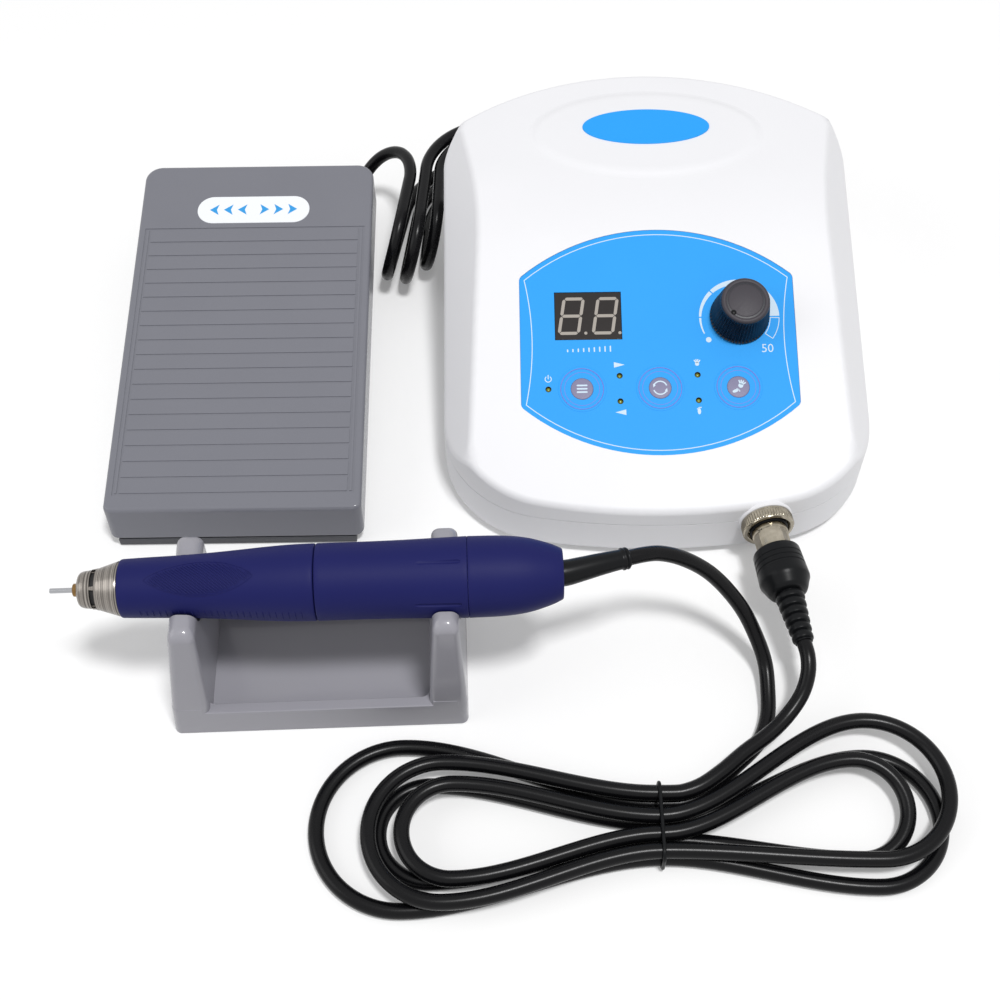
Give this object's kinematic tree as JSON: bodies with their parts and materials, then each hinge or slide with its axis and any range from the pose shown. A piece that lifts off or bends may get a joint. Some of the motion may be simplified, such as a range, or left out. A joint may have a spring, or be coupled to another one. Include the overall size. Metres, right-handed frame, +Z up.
{
  "type": "dental micromotor",
  "caption": "Dental laboratory micromotor: control box with display, keys and speed knob, motor handpiece on its cradle, foot pedal and corded leads.",
  "frame": {"origin": "middle of the set's outline, cords left out, on the surface it stands on", "axes": "+Z up, +Y away from the user, +X to the user's right"},
  "size_m": [0.2997, 0.3717, 0.0733],
  "materials": {
    "abs_white": "satin",
    "overlay_film": "satin",
    "display_lens": "gloss",
    "circuit_board": "matte",
    "black_plastic": "satin",
    "lamp_lens": "gloss",
    "button_grey": "satin",
    "knob_black": "satin",
    "steel_plated": "satin",
    "nickel_warm": "satin",
    "core_iron": "matte",
    "copper_coil": "satin",
    "sleeve_navy": "matte",
    "motor_alloy": "satin",
    "magnet_dark": "matte",
    "cradle_grey": "satin",
    "pedal_grey": "satin",
    "pedal_dark": "matte",
    "label_white": "satin",
    "foot_rubber": "matte",
    "plunger_red": "satin",
    "cord_black": "satin",
    "rear_grey": "satin"
  },
  "bodies": {
    "root": {"top_shell": "abs_white", "bottom_shell": "abs_white", "panel_overlay": "overlay_film", "badge_plate": "overlay_film", "display_body": "display_lens", "panel_board": "circuit_board", "tact_switches": "black_plastic", "indicator_lamps": "lamp_lens", "pot_body": "steel_plated", "control_board": "circuit_board", "transformer_core": "core_iron", "transformer_coil": "copper_coil", "motor_socket": "nickel_warm", "socket_ring": "nickel_warm", "rear_plate": "rear_grey", "mains_inlet": "black_plastic", "inlet_pins": "steel_plated", "switch_frame": "black_plastic", "pedal_socket": "steel_plated", "rubber_feet": "foot_rubber", "box_screws": "steel_plated", "handpiece_cradle": "cradle_grey", "pedal_base": "pedal_dark", "pedal_hinge_pin": "steel_plated", "pedal_spring": "steel_plated", "pedal_switch": "black_plastic", "plug_barrel": "nickel_warm", "plug_body": "black_plastic", "handpiece_cord": "cord_black", "handpiece_hank": "cord_black", "plug_cord": "cord_black", "pedal_cord": "cord_black", "pedal_hank": "cord_black", "jack_cord": "cord_black", "jack_plug": "black_plastic", "cord_tie": "cord_black"},
    "knob": {"speed_knob": "knob_black", "pot_shaft": "steel_plated"},
    "mode_key": {"mode_button": "button_grey"},
    "direction_key": {"direction_button": "button_grey"},
    "hand_foot_key": {"hand_foot_button": "button_grey"},
    "power_rocker": {"switch_rocker": "black_plastic"},
    "handpiece": {"rear_sleeve": "sleeve_navy", "tail_cap": "sleeve_navy", "motor_case": "motor_alloy", "magnets": "magnet_dark", "brushes": "magnet_dark", "bearings": "steel_plated", "cord_boot": "cord_black"},
    "chuck": {"nose_cone": "nickel_warm", "front_sleeve": "sleeve_navy"},
    "drive_spindle": {"spindle": "steel_plated", "rotor": "copper_coil", "commutator": "copper_coil", "collet": "steel_plated", "tool_shank": "steel_plated"},
    "pedal": {"pedal_cover": "pedal_grey", "pedal_label": "label_white"},
    "plunger": {"pedal_plunger": "plunger_red"}
  },
  "joints": [
    {"name": "knob_turn", "type": "hinge", "parent": "root", "child": "knob", "pos_m": [0.0963, 0.01288, 0.05397], "axis": [0, -0.342, 0.9397], "range_deg": [-280, 0]},
    {"name": "mode_press", "type": "slide", "parent": "root", "child": "mode_key", "axis": [0, 0.342, -0.9397], "range_m": [0, 0.0005], "stiffness_N_per_m": 400},
    {"name": "direction_press", "type": "slide", "parent": "root", "child": "direction_key", "axis": [0, 0.342, -0.9397], "range_m": [0, 0.0005], "stiffness_N_per_m": 400},
    {"name": "hand_foot_press", "type": "slide", "parent": "root", "child": "hand_foot_key", "axis": [0, 0.342, -0.9397], "range_m": [0, 0.0005], "stiffness_N_per_m": 400},
    {"name": "power_rock", "type": "hinge", "parent": "root", "child": "power_rocker", "pos_m": [0.0735, 0.114, 0.027], "axis": [-1, 0, 0], "range_deg": [0, 14]},
    {"name": "handpiece_lift", "type": "slide", "parent": "root", "child": "handpiece", "axis": [0, 0, 1], "range_m": [0, 0.06]},
    {"name": "chuck_twist", "type": "hinge", "parent": "handpiece", "child": "chuck", "pos_m": [-0.13308, -0.10582, 0.057], "axis": [0.9997, 0.0244, 0], "range_deg": [0, 60]},
    {"name": "spindle_spin", "type": "hinge", "parent": "handpiece", "child": "drive_spindle", "pos_m": [-0.13308, -0.10582, 0.057], "axis": [0.9997, 0.0244, 0], "continuous": true},
    {"name": "pedal_press", "type": "hinge", "parent": "root", "child": "pedal", "pos_m": [-0.094, -0.038, 0.0095], "axis": [-1, 0, 0], "range_deg": [0, 6.3], "stiffness_Nm_per_rad": 1.2, "springref_deg": -10.31, "deforming": ["pedal_spring"]},
    {"name": "plunger_push", "type": "slide", "parent": "root", "child": "plunger", "axis": [0, 0, -1], "range_m": [0, 0.0035]}
  ],
  "couplings": [
    {"joint": "plunger_push", "follows": "pedal_press", "m_per_rad": 0.031}
  ]
}
